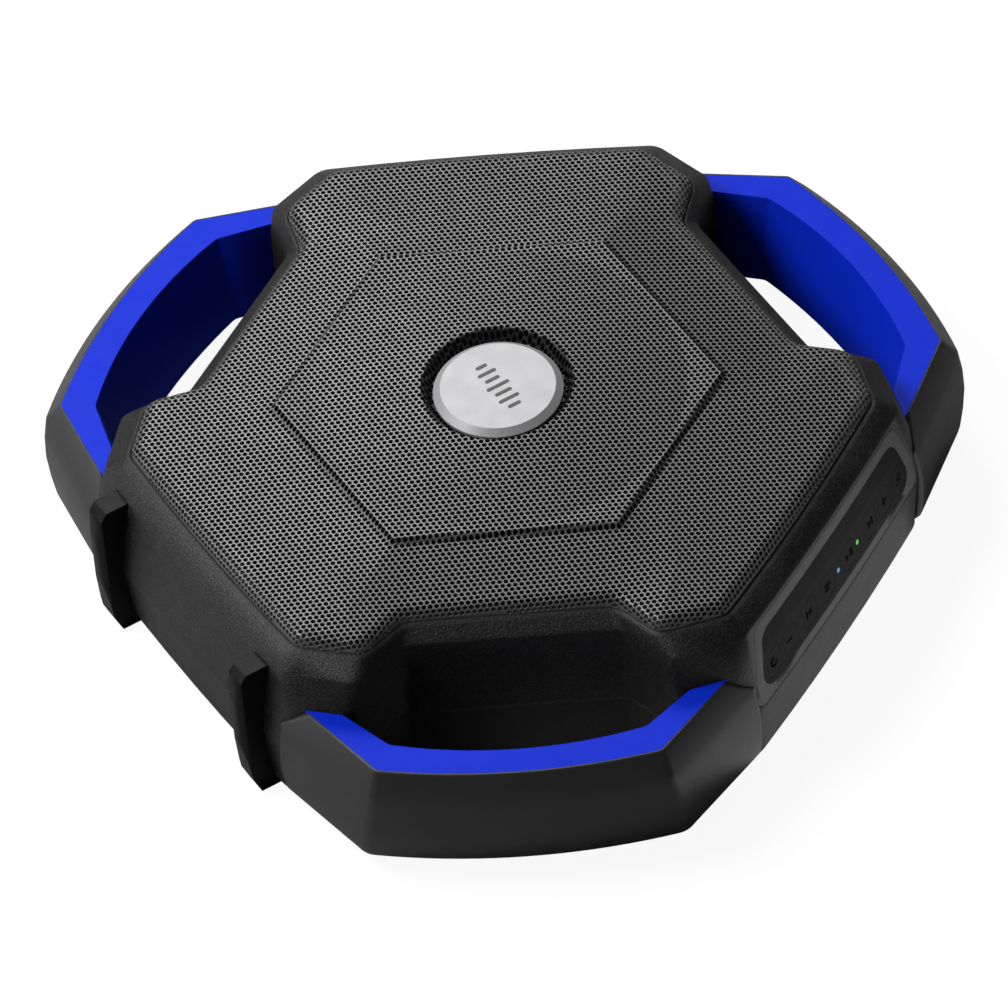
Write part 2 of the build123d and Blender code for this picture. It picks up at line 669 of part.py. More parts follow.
def make_handles():
    """All three handles, trimmed where their legs meet the body, with the screw holes in the shells."""
    shell, grip = handle_pieces()
    names = {90: "top", 210: "left", 330: "right"}
    made = {}
    for handle, name in names.items():
        frame = side_frame(handle)
        placed_shell = frame * shell - FRONT_BLANK - REAR_BLANK
        placed_grip = frame * grip - FRONT_BLANK - REAR_BLANK
        for side in (-1, 1):
            for height in HANDLE_SCREW_HEIGHTS:
                placed_shell -= handle_screw_line(handle, side, height) * bar(PILOT_RADIUS, -2, 8.5)
        made[name + "_handle_shell"] = placed_shell
        made[name + "_handle_grip"] = placed_grip
    return made


def handle_screws():
    """Twelve screws, two up each handle leg from inside the body."""
    seat = -WALL - 0.7
    screw = bar(HEAD_RADIUS, seat - HEAD_HEIGHT, seat) + bar(SCREW_RADIUS, seat, 7.5)
    return [line * screw for line in all_handle_screw_lines()]


# --- Feet and pads ----------------------------------------------------------------------------------
def make_foot(side):
    """Rubber foot on the lower lobe, shaped like an upright fin."""
    profile = [
        (146, 0), (159.2, 0), (162.6, 9), (FOOT_REACH, 30), (FOOT_REACH, 56), (163.4, FOOT_TOP - 4),
        (160.6, FOOT_TOP), (146, FOOT_TOP),
    ]
    face = make_face(Polyline(*[(0, y, z) for y, z in profile], close=True))
    half = FOOT_WIDTH / 2
    fin = Pos(side * FOOT_OFFSET - half, 0, 0) * extrude(face, FOOT_WIDTH, dir=(1, 0, 0))
    outer = fin.edges().filter_by(Axis.Z).group_by(Axis.Y)[-1]
    fin = chamfer(outer, 1.8)
    foot = side_frame(FOOT_SIDE) * fin - FRONT_BLANK - REAR_BLANK
    for line in foot_screw_lines():
        foot -= line * bar(PILOT_RADIUS, 140, 160.5)
    return foot


def foot_screws():
    """Four screws that hold the feet from inside the body."""
    screw = bar(HEAD_RADIUS, 143, 145) + bar(SCREW_RADIUS, 145, 160)
    return [line * screw for line in foot_screw_lines()]


def rear_pads():
    """Seven round rubber pads under the speaker, one of them in the middle."""
    return [
        bar(PAD_RADIUS - 0.05, SHELL_BOTTOM, SHELL_BOTTOM + PAD_DEPTH, place)
        + Pos(place[0], place[1], SHELL_BOTTOM / 2) * Cone(PAD_RADIUS - 1.4, PAD_RADIUS - 0.2, SHELL_BOTTOM)
        for place in PAD_PLACES
    ]


# --- Control panel ----------------------------------------------------------------------------------
def make_bezel():
    """Frame round the inlay, flush with the lobe."""
    window = PANEL_FRAME * prism(trapezoid(*INLAY, 8), -BEZEL_DEPTH - 1, 12)
    low, high, low_half, high_half = BEZEL
    face = trapezoid(low + 0.1, high - 0.1, low_half - 0.1, high_half - 0.1, 5)
    return panel_skin(face, BEZEL_DEPTH) - window


def lens_hole(place, radius, depth):
    """Round hole in the panel for a light."""
    return PANEL_FRAME * bar(radius, -depth, 12, (place, BUTTON_ROW))


def make_inlay():
    """Dark inlay with a window for each button and a hole for each light."""
    low, high, low_half, high_half = INLAY
    face = trapezoid(low + 0.1, high - 0.1, low_half - 0.1, high_half - 0.1, 8)
    inlay = FRONT_BLANK & (PANEL_FRAME * (Pos(0, 0, -0.2) * prism(face, -BEZEL_DEPTH + 0.2, 12)))
    for place in BUTTON_PLACES:
        hole = Pos(place, BUTTON_ROW, 0) * prism(button_face(BUTTON_GAP), -BEZEL_DEPTH - 1, 12)
        inlay -= PANEL_FRAME * hole
    for place in (BLUE_LENS_PLACE, GREEN_LENS_PLACE):
        inlay -= lens_hole(place, LENS_RADIUS, BEZEL_DEPTH + 1)
    return inlay


def make_button(place):
    """One button: a head that is part of the panel's surface, and a stem down to its switch."""
    face = Pos(place, BUTTON_ROW, 0) * button_face(0)
    head = panel_skin(face, BUTTON_HEAD)
    stem = PANEL_FRAME * bar(STEM_RADIUS, -STEM_END, -BUTTON_HEAD, (place, BUTTON_ROW))
    return head + stem


def make_lens(place):
    """Light pipe from the button board to the panel's surface."""
    rod = PANEL_FRAME * bar(LENS_RADIUS, -12.6, 12, (place, BUTTON_ROW))
    return rod & FRONT_BLANK


def button_board():
    """Board behind the panel with a switch under each stem and a lamp under each lens."""
    face = RectangleRounded(136, 24, 3)
    board = Pos(0, -4, 0) * prism(face, -BUTTON_BOARD_FACE - BOARD_THICKNESS, -BUTTON_BOARD_FACE)
    for place in BUTTON_PLACES:
        spot = (place, BUTTON_ROW)
        rows = (BUTTON_ROW - 3, BUTTON_ROW + 3)
        board += block((place - 3, place + 3), rows, (-BUTTON_BOARD_FACE - 0.5, -10.4))
        board += bar(1.6, -BUTTON_BOARD_FACE, -10.2, spot)
    for place in (BLUE_LENS_PLACE, GREEN_LENS_PLACE):
        board += bar(1.4, -BUTTON_BOARD_FACE - 0.5, -13.0, (place, BUTTON_ROW))
    for x, y in BUTTON_BOARD_PLACES:
        board -= bar(PILOT_RADIUS, -20, -10, (x, y))
    return PANEL_FRAME * board


# --- Port door and sockets --------------------------------------------------------------------------
def door_recess():
    """Room for the door, its knuckle and pins, and the pocket behind it."""
    axis, top, half = DOOR
    seat = block((-half - DOOR_GAP, half + DOOR_GAP), (axis, top + DOOR_GAP), (-DOOR_THICKNESS - 0.2, 12))
    low = axis - DOOR_SWING
    seat += block((-half - DOOR_GAP, half + DOOR_GAP), (low, axis + 1), (-DOOR_THICKNESS - 0.2, 12))
    low_edge, high_edge, pocket_half = POCKET
    pocket = block((-pocket_half, pocket_half), (low_edge, high_edge), (-POCKET_DEPTH - 1, 12))
    pins = Pos(0, axis, -DOOR_AXIS_DEPTH) * Rot(0, 90, 0) * Cylinder(DOOR_PIN_RADIUS, 2 * (half + 5))
    return seat + pocket + pins


def make_door():
    """Door with a rounded hinge edge and a bore at each end for its pins."""
    axis, top, half = DOOR
    face = make_face(Polyline((-half, axis), (half, axis), (half, top), (-half, top), close=True))
    face = fillet(face.vertices().group_by(Axis.Y)[-1], 3)
    plate = (PORT_FRAME * prism(face, -DOOR_THICKNESS, 12)) & FRONT_BLANK
    knuckle = Pos(0, axis, -DOOR_AXIS_DEPTH) * Rot(0, 90, 0) * Cylinder(DOOR_KNUCKLE, 2 * half)
    plate += (PORT_FRAME * knuckle) & FRONT_BLANK
    bore = Rot(0, 90, 0) * Cylinder(DOOR_BORE_RADIUS, 16)
    for end in (-half, half):
        plate -= PORT_FRAME * (Pos(end, axis, -DOOR_AXIS_DEPTH) * bore)
    notch = Pos(0, top, 0) * Rot(0, 90, 0) * Cylinder(1.6, 18)
    return plate - PORT_FRAME * notch


def door_pins():
    """Two steel hinge pins, fixed in the shell."""
    axis, _, half = DOOR
    pin = Rot(0, 90, 0) * Cylinder(DOOR_PIN_RADIUS, 11)
    return [PORT_FRAME * (Pos(end * (half - 0.8), axis, -DOOR_AXIS_DEPTH) * pin) for end in (-1, 1)]


def door_seal():
    """Rubber ring on the back of the door that plugs the pocket."""
    low, high, half = POCKET
    outer = block((-half + 0.4, half - 0.4), (low + 0.5, high - 0.8), (-5.4, -DOOR_THICKNESS))
    inner = block((-half + 2.4, half - 2.4), (low + 2.5, high - 2.8), (-6, -DOOR_THICKNESS + 1))
    return PORT_FRAME * (outer - inner)


SOCKETS = {"usb_socket": -20.0, "aux_socket": 0.0, "dc_socket": 19.0}
SOCKET_BACK = 24.4


def socket_body(name, gap):
    """Outside of a socket where it passes the port plate, grown by a gap."""
    middle = Pos(SOCKETS[name], 0.5, -(PORT_PLATE_FACE + SOCKET_BACK) / 2)
    length = SOCKET_BACK - PORT_PLATE_FACE
    if name == "usb_socket":
        return middle * Box(14.6 + 2 * gap, 7.0 + 2 * gap, length)
    radius = 4.0 if name == "aux_socket" else 5.0
    return middle * Cylinder(radius + gap, length)


def make_socket(name):
    """One socket with its mouth open towards the door."""
    mouth = Pos(SOCKETS[name], 0.5, -PORT_PLATE_FACE)
    if name == "usb_socket":
        opening = mouth * (Box(12.4, 4.8, 16) - Pos(0, 1.0, 0) * Box(11, 1.6, 18))
    elif name == "aux_socket":
        opening = mouth * Cylinder(1.78, 18)
    else:
        opening = mouth * (Cylinder(2.9, 16) - Cylinder(1.0, 18))
    return PORT_FRAME * (socket_body(name, 0) - opening)


def port_plate():
    """Plate across the back of the port pocket."""
    low, high, half = POCKET
    plate = block((-half, half), (low, high), (-PORT_PLATE_BACK, -PORT_PLATE_FACE))
    for name in SOCKETS:
        plate -= socket_body(name, 0.0)
    return PORT_FRAME * plate


def port_board():
    """Board that carries the sockets."""
    return PORT_FRAME * block((-31, 31), (-8, 9), (-SOCKET_BACK - BOARD_THICKNESS, -SOCKET_BACK))


# --- Electronics ------------------------------------------------------------------------------------
def battery_pack():
    """Wrapped block of cells."""
    pack = block(*BATTERY)
    return fillet(pack.edges().filter_by(Axis.X), 8)


def battery_strap():
    """Clamp over the battery, screwed feet on both sides."""
    low, high = BATTERY[1]
    outer = block((-12, 12), (low - 2.2, high + 2.2), (FLOOR_TOP, BATTERY[2][1] + 2))
    strap = outer - block((-13, 13), (low - 0.2, high + 0.2), (0, BATTERY[2][1]))
    for y in (low - 8, high + 8):
        ear = block((-12, 12), sorted((y - 6, y + 6)), (FLOOR_TOP, FLOOR_TOP + 2))
        strap += ear - block((-13, 13), (low - 0.2, high + 0.2), (0, 20))
    return strap


def main_board():
    """Amplifier and radio board on four standoffs."""
    board = block(*MAIN_BOARD)
    for place in MAIN_BOARD_PLACES:
        board -= bar(PILOT_RADIUS, 10, 15, place)
    return board


def main_board_parts():
    """Chips, capacitors, coils and the finned heatsink on the main board."""
    top = MAIN_BOARD[2][1]
    parts = [block((-8, 6), (54, 68), (top, top + 1.6)), block((14, 24), (76, 86), (top, top + 1.2))]
    parts += [bar(4.5, top, top + 14, (x, 56)) for x in (16, 27)]
    parts += [block((x - 5, x + 5), (76, 86), (top, top + 6)) for x in (-6, 6)]
    sink = block((-34, -14), (58, 84), (top, top + 3))
    for x in range(-33, -13, 4):
        sink += block((x, x + 1.4), (58, 84), (top, top + 14))
    return parts + [sink]


def board_screws():
    """Screws of the main board and of the button board."""
    top = MAIN_BOARD[2][1]
    screws = [
        bar(HEAD_RADIUS, top, top + HEAD_HEIGHT, place) + bar(SCREW_RADIUS, top - 7, top, place)
        for place in MAIN_BOARD_PLACES
    ]
    back = -BUTTON_BOARD_FACE - BOARD_THICKNESS
    for place in BUTTON_BOARD_PLACES:
        screw = bar(HEAD_RADIUS, back - HEAD_HEIGHT, back, place) + bar(SCREW_RADIUS, back, back + 6, place)
        screws.append(PANEL_FRAME * screw)
    return screws


def shell_screws():
    """Nine screws that close the body from below."""
    return [
        bar(HEAD_RADIUS, SHELL_SCREW_SEAT - HEAD_HEIGHT, SHELL_SCREW_SEAT, place)
        + bar(SCREW_RADIUS, SHELL_SCREW_SEAT, SEAM + 18, place)
        for place in POST_PLACES
    ]


def lead(points):
    """Round wire along a smooth path."""
    path = Spline(*points)
    section = Plane(origin=path @ 0, z_dir=path % 0) * Circle(1.3)
    return sweep(section, path=path)


def speaker_leads():
    """Wires from the main board to the two magnets, and from the battery to the board."""
    top = MAIN_BOARD[2][1]
    leads = []
    for side in (-1, 1):
        leads.append(lead([
            (side * 40, 66, top + 1.8),
            (side * 45, 60, 24),
            (side * 54, 50, 31),
            (side * 60, 46, MAGNET_BOTTOM - 2),
        ]))
    leads.append(lead([(29, BATTERY[1][1] + 1.6, 15), (29, 34, 18), (30, 43, 18.2), (31, 52, top + 1.8)]))
    return leads


# --- Assembly ---------------------------------------------------------------------------------------
def group(solids):
    """Several separate solids in one node."""
    return Compound(list(solids))


def unit_pieces(side, prefix):
    """The four pieces of one driver, at its place."""
    place = Pos(*UNIT_PLACES[side], 0)
    return {
        prefix + "_basket": place * basket(),
        prefix + "_magnet": place * magnet(),
        prefix + "_cone": place * cone(),
        prefix + "_surround": place * half_roll(CONE_RADIUS - 0.8, 45.4, FLANGE_SEAT + 1),
    }


def make_parts():
    """Every node of the speaker, by name."""
    radiator = Pos(*UNIT_PLACES[FOOT_SIDE], 0)
    parts = {
        "front_shell": make_front_shell(),
        "rear_shell": make_rear_shell(),
        "shell_gasket": seal_ring(SEAM - 1.2, SEAM),
        "grille": make_grille(),
        "acoustic_cloth": make_cloth(),
        "badge": make_badge(),
        "badge_screw": make_badge_screw(),
        "bass_radiator_frame": radiator * radiator_frame(),
        "bass_radiator_surround": radiator * half_roll(RADIATOR_RADIUS - 0.8, 43.4, FLANGE_SEAT + 1),
        "bass_radiator_diaphragm": radiator * radiator_diaphragm(),
        "driver_screws": group(unit_screws()),
        "left_foot": make_foot(1),
        "right_foot": make_foot(-1),
        "foot_screws": group(foot_screws()),
        "handle_screws": group(handle_screws()),
        "rear_pads": group(rear_pads()),
        "shell_screws": group(shell_screws()),
        "panel_bezel": make_bezel(),
        "panel_inlay": make_inlay(),
        "power_lens": make_lens(BLUE_LENS_PLACE),
        "charge_lens": make_lens(GREEN_LENS_PLACE),
        "button_board": button_board(),
        "port_door": make_door(),
        "port_door_pins": group(door_pins()),
        "port_door_seal": door_seal(),
        "port_plate": port_plate(),
        "port_board": port_board(),
        "battery_pack": battery_pack(),
        "battery_strap": battery_strap(),
        "main_board": main_board(),
        "main_board_parts": group(main_board_parts()),
        "board_screws": group(board_screws()),
        "speaker_leads": group(speaker_leads()),
    }
    parts.update(unit_pieces(PORT_SIDE, "left_driver"))
    parts.update(unit_pieces(PANEL_SIDE, "right_driver"))
    parts.update(make_handles())
    for name, place in zip(BUTTON_NAMES, BUTTON_PLACES):
        parts[name + "_button"] = make_button(place)
    for name in SOCKETS:
        parts[name] = make_socket(name)
    return parts


os.makedirs("parts", exist_ok=True)
for node, shape in make_parts().items():
    export_step(shape, "parts/" + node + ".step")
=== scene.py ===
"""Looks of the hexagonal party speaker: perforated grille, grained plastics, badge, panel symbols and light.

Lengths are in millimetres and are multiplied by MM, apart from the camera's and the lamps', which are in
metres. The frame is the CAD model's: +Z out of the grille, +Y to the top handle. Sides are named by the
angle of their outward normal, in degrees from +X.
"""

import json
import math

import bmesh
import bpy
import numpy as np
from mathutils import Matrix, Vector
from mathutils.bvhtree import BVHTree

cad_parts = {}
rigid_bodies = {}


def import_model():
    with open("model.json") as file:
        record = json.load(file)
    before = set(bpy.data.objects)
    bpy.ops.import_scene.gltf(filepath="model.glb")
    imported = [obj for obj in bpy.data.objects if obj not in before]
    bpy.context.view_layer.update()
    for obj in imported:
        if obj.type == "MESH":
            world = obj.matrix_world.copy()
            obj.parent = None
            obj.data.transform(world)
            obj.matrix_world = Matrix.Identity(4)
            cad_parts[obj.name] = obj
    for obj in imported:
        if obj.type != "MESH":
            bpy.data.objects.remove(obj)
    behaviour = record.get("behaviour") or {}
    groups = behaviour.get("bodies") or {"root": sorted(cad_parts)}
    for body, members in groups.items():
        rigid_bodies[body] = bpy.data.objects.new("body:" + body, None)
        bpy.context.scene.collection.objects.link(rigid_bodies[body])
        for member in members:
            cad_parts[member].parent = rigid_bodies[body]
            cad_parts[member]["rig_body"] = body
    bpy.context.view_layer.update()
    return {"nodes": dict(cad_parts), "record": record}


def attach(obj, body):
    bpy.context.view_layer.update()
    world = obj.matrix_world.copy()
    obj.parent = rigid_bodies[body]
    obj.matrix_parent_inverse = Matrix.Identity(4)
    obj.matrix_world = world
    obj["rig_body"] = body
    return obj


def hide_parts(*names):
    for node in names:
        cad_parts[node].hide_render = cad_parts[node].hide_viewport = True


MM = 0.001

# --- Grille: distances of its sides from the axis, as the rim of the body leaves them ---------------
HANDLE_SIDES = (90, 210, 330)
LOBE_SIDES = {"right": 30, "left": 150, "lower": 270}
PANEL_SIDE = 30
LOBE_REACH = 139.3
LOBE_BULGE = 1.8
END_REACH = 144.5
END_SLANT = 15
FLANK_REACH = 51.8
FLANK_SLANT = 45
FLOOR_REACH = 116.8
LOBE_CORNER, TIP_CORNER, FLOOR_CORNER = 8, 9, 9     # outline radii at the grille's foot
ROLL_INSET = 4.8            # width of the rolled edge
EDGE_HEIGHT = 85.0
FIELD_HEIGHT = 88.2         # at the foot of the step round the raised hexagon
HEXAGON_HEIGHT = 90.5
DOME_HEIGHT = 93.6          # at the lip of the dish
DISH_HEIGHT = 88.4
FOOT_APOTHEM = 81.9         # the two sides of the step
HEXAGON_APOTHEM = 79.7
DOME_RADIUS = 78.0
DISH_RADIUS = 31.8
DISH_FLOOR_RADIUS = 27.8
# Section of the rolled edge, from the field to the foot: inset from the foot's outline, then height.
ROLL_SECTION = (
    (4.8, 85.0), (3.3, 84.7), (2.0, 84.0), (1.1, 83.0), (0.55, 81.8), (0.2, 80.4), (0.05, 78.7),
)

# --- Perforation ------------------------------------------------------------------------------------
PITCH = 2.39
ROW_PITCH = 2.29
HOLE_RADIUS = 1.03
HOLE_SIDES = 12
SHEET = 0.75
PLAIN_EDGE = 1.0            # width of the unperforated strip at the foot
BADGE_COVER = 25.0          # cells within this radius are under the badge
LATTICE_REACH = 190         # the lattice of cells covers the sheet out to here
CHUNK = 20000               # plan points measured at a time, which limits the memory used
TINY = 1e-6                 # keeps a division clear of zero

# --- Control panel ----------------------------------------------------------------------------------
FACET_REACH = 153.6
FACET_HEIGHT = 54.2
FACET_TILT = 9.2
BUTTON_ROW = -5.6
BUTTON_PLACES = {
    "power": -55.0,
    "volume_down": -41.5,
    "previous": -25.0,
    "source": -9.0,
    "play": 10.0,
    "next": 29.0,
    "volume_up": 42.5,
    "lights": 56.0,
}
SYMBOL_PROUD = 0.06         # top and foot of a symbol, from the button's face
SYMBOL_DEPTH = 0.5
SYMBOL_LINE = 0.95          # stroke width
RAY_LINE = 0.6              # stroke width of the lights symbol's rays
PROBE_HEIGHT = 20           # where the search for a button's face starts

# --- Badge ------------------------------------------------------------------------------------------
BADGE_TOP = 92.0
BAR_HEIGHTS = (3.6, 7.0, 5.2, 9.0, 6.2, 8.0, 4.4)
BAR_WIDTH = 1.7
BAR_PITCH = 4.3
BAR_PROUD = 0.12            # top and foot of a bar, from the badge's face
BAR_DEPTH = 0.6

# --- Smooth copies of CAD meshes, which replace the CAD nodes -----------------------------------------
WELD = 0.01                 # points nearer than this become one
SLIVER = 0.005              # edges shorter than this are removed
FLAT_ANGLE = 0.3            # faces that turn less than this, in degrees, become one
SHARP_ANGLE = 32            # edges that turn more than this, in degrees, stay sharp
FACETED_ANGLE = 12          # the same for pieces with flat faces and shallow edges

# --- What all the materials share ---------------------------------------------------------------------
NOISE_ROUGHNESS = 0.6
CLOUD_SIZE = 28             # size of the patches of uneven colour
SMUDGE_SIZE = 9             # size of the patches of uneven roughness
DARK_SHARE = 0.82           # the darkest patch, as a share of the colour
WORN_GAIN = 1.6             # a worn edge, as a multiple of the colour
ROUGHNESS_SPREAD = 0.07     # either way from a material's roughness
FLECK_RANGE = (0.5, 0.68)   # grain heights between which the flecks come in
EDGE_RANGE = (0.98, 0.8)    # turn of the rounded normal, as a cosine, over which wear comes in
WEAR_GAIN = 6
BEVEL_SAMPLES = 4
PAINTED_DISH_FADE = (-1.0, 0.6)     # the painted shade in the dish fades out between these distances from its lip
# Colour painted on the grille inside the dish round the badge as shade: the dish wall is darkened in its
# colour, not by light
PAINTED_DISH_SHADE = (0.01, 0.01, 0.01, 1)
GRIP_BOUNCE = (0.14, 0.10, 0.16, 1)     # colour that the grips throw on the body
LENS_GLOW = 0.5             # strength of the light in the panel's two lenses

# --- Camera and light -------------------------------------------------------------------------------
CAMERA_PLACE = (3.87684, -2.04769, 4.71898)
CAMERA_TARGET = (0.03171, -0.01943, 0.06035)
CAMERA_ROLL = 5.78          # degrees
CAMERA_LENS = 553.5         # focal length and sensor width in millimetres
SENSOR = 36.0
CAMERA_CLIP = (0.1, 100)
FLOOR_GLOW = 0.93           # how bright the floor looks by itself, so that shadows stay pale
FLOOR_SHADE = (0.12, 0.12, 0.12, 1)
FLOOR_BOUNCE = (0.42, 0.42, 0.42, 1)    # how bright it is for the light that it throws on the speaker
FLOOR_ROUGHNESS = 0.9
FLOOR_HALF_WIDTH = 6000
FLOOR_DROP = 0.2            # how far the floor lies under the pads
PAPER_GRAIN = 2.0
PAPER_RELIEF = 0.02
WORLD_STRENGTH = 0.075
# Soft lamps: angle from +X and elevation in degrees, distance, height aimed at and width in metres, watts.
LAMPS = {
    "key": (242, 56, 2.2, 0.06, 1.0, 34),
    "top": (165, 46, 2.2, 0.06, 0.9, 24),
    "low": (235, 8, 1.7, 0.04, 0.8, 5),
}
# Lamp that lies on the floor at the panel side and shines upwards, in metres and watts.
CARD_REACH = 0.25
CARD_HEIGHT = 0.001
CARD_WIDTH = 0.24
CARD_POWER = 0.09

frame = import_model()
NODES = frame["nodes"]


def polar(angle, distance):
    """Plan point at a distance from the axis in the direction of an angle, in degrees."""
    return np.array([math.cos(math.radians(angle)), math.sin(math.radians(angle))]) * distance


# --- Materials --------------------------------------------------------------------------------------
def add_node(tree, kind, inputs=None, **settings):
    """New shader node with its settings and the values or links of its inputs."""
    node = tree.nodes.new(kind)
    for key, value in settings.items():
        setattr(node, key, value)
    for key, value in (inputs or {}).items():
        if isinstance(value, bpy.types.NodeSocket):
            tree.links.new(value, node.inputs[key])
        else:
            node.inputs[key].default_value = value
    return node


def scaled_noise(tree, size_mm, detail=3.0):
    """Noise whose features are about the given size, in the object's own frame."""
    place = add_node(tree, "ShaderNodeTexCoord").outputs["Object"]
    scale = 1 / (size_mm * MM)
    return add_node(
        tree, "ShaderNodeTexNoise",
        {"Vector": place, "Scale": scale, "Detail": detail, "Roughness": NOISE_ROUGHNESS},
    )


def ranged(tree, value, low, high):
    """A 0 to 1 value stretched to another range."""
    limits = {"Value": value, "To Min": low, "To Max": high}
    return add_node(tree, "ShaderNodeMapRange", limits).outputs["Result"]


def mixed(tree, amount, first, second):
    """Colour between two colours, by an amount."""
    node = add_node(tree, "ShaderNodeMix", data_type="RGBA")
    for socket, value in ((node.inputs[0], amount), (node.inputs[6], first), (node.inputs[7], second)):
        if isinstance(value, bpy.types.NodeSocket):
            tree.links.new(value, socket)
        else:
            socket.default_value = value
    return node.outputs[2]


def surface(
    name, colour, roughness, grain_mm, bump_mm, metallic=0.0, wear=0.06, edge_mm=0.5, specular=0.5, fleck=0.0,
):
    """Material with uneven colour and roughness, a fine grain in relief, and soft, slightly worn edges."""
    material = bpy.data.materials.new(name)
    material.use_nodes = True
    tree = material.node_tree
    shader = tree.nodes["Principled BSDF"]
    cloud = scaled_noise(tree, CLOUD_SIZE).outputs["Fac"]
    smudge = scaled_noise(tree, SMUDGE_SIZE, detail=5).outputs["Fac"]
    grain = scaled_noise(tree, grain_mm, detail=2).outputs["Fac"]
    base = (*colour, 1)
    dark = tuple(DARK_SHARE * value for value in colour) + (1,)
    worn = tuple(min(1, value * WORN_GAIN + wear) for value in colour) + (1,)
    tone = mixed(tree, ranged(tree, cloud, 0.0, 1.0), dark, base)
    if fleck:
        grain_tops = add_node(
            tree, "ShaderNodeMapRange",
            {"Value": grain, "From Min": FLECK_RANGE[0], "From Max": FLECK_RANGE[1]},
        ).outputs["Result"]
        tone = mixed(tree, grain_tops, tone, tuple(value + fleck for value in colour) + (1,))
    soft = add_node(tree, "ShaderNodeBevel", {"Radius": edge_mm * MM}, samples=BEVEL_SAMPLES)
    flat = add_node(tree, "ShaderNodeNewGeometry").outputs["Normal"]
    dot = add_node(
        tree, "ShaderNodeVectorMath", {0: soft.outputs["Normal"], 1: flat}, operation="DOT_PRODUCT")
    edge = add_node(
        tree, "ShaderNodeMapRange",
        {
            "Value": dot.outputs["Value"], "From Min": EDGE_RANGE[0], "From Max": EDGE_RANGE[1],
            "To Min": 0.0, "To Max": wear * WEAR_GAIN,
        },
    ).outputs["Result"]
    tree.links.new(mixed(tree, edge, tone, worn), shader.inputs["Base Color"])
    uneven = ranged(tree, smudge, roughness - ROUGHNESS_SPREAD, roughness + ROUGHNESS_SPREAD)
    tree.links.new(uneven, shader.inputs["Roughness"])
    bump = add_node(
        tree, "ShaderNodeBump",
        {"Height": grain, "Distance": bump_mm * MM, "Strength": 1.0, "Normal": soft.outputs["Normal"]},
    )
    tree.links.new(bump.outputs["Normal"], shader.inputs["Normal"])
    shader.inputs["Metallic"].default_value = metallic
    shader.inputs["Specular IOR Level"].default_value = specular
    return material


def paint_dish_shade(material):
    """Paints shade into a material's colour inside the dish round the badge: a dark ring that stands in for
    the shadow on the dish's wall.
    """
    tree = material.node_tree
    socket = tree.nodes["Principled BSDF"].inputs["Base Color"]
    lit = socket.links[0].from_socket
    place = add_node(tree, "ShaderNodeTexCoord").outputs["Object"]
    flat = add_node(tree, "ShaderNodeVectorMath", {0: place, 1: (1, 1, 0)}, operation="MULTIPLY")
    radius = add_node(tree, "ShaderNodeVectorMath", {0: flat.outputs["Vector"]}, operation="LENGTH")
    amount = add_node(
        tree, "ShaderNodeMapRange",
        {
            "Value": radius.outputs["Value"],
            "From Min": (DISH_RADIUS + PAINTED_DISH_FADE[0]) * MM, "From Max": (DISH_RADIUS + PAINTED_DISH_FADE[1]) * MM,
        },
    ).outputs["Result"]
    # Painted shade: the colour turns near black inside the dish
    tree.links.new(mixed(tree, amount, PAINTED_DISH_SHADE, lit), socket)
    return material


def without_bounce(material, colour):
    """Gives a material another colour in the light that it throws on its neighbours."""
    tree = material.node_tree
    socket = tree.nodes["Principled BSDF"].inputs["Base Color"]
    seen = socket.links[0].from_socket
    path = add_node(tree, "ShaderNodeLightPath")
    bounced = add_node(
        tree, "ShaderNodeMath", {0: path.outputs["Is Diffuse Ray"], 1: path.outputs["Is Glossy Ray"]},
        operation="MAXIMUM").outputs["Value"]
    tree.links.new(mixed(tree, bounced, seen, colour), socket)
    return material


def glow(name, colour):
    """Lens that is lit evenly from inside."""
    material = surface(name, colour, 0.25, 0.8, 0.005)
    shader = material.node_tree.nodes["Principled BSDF"]
    shader.inputs["Emission Color"].default_value = (*colour, 1)
    shader.inputs["Emission Strength"].default_value = LENS_GLOW
    return material


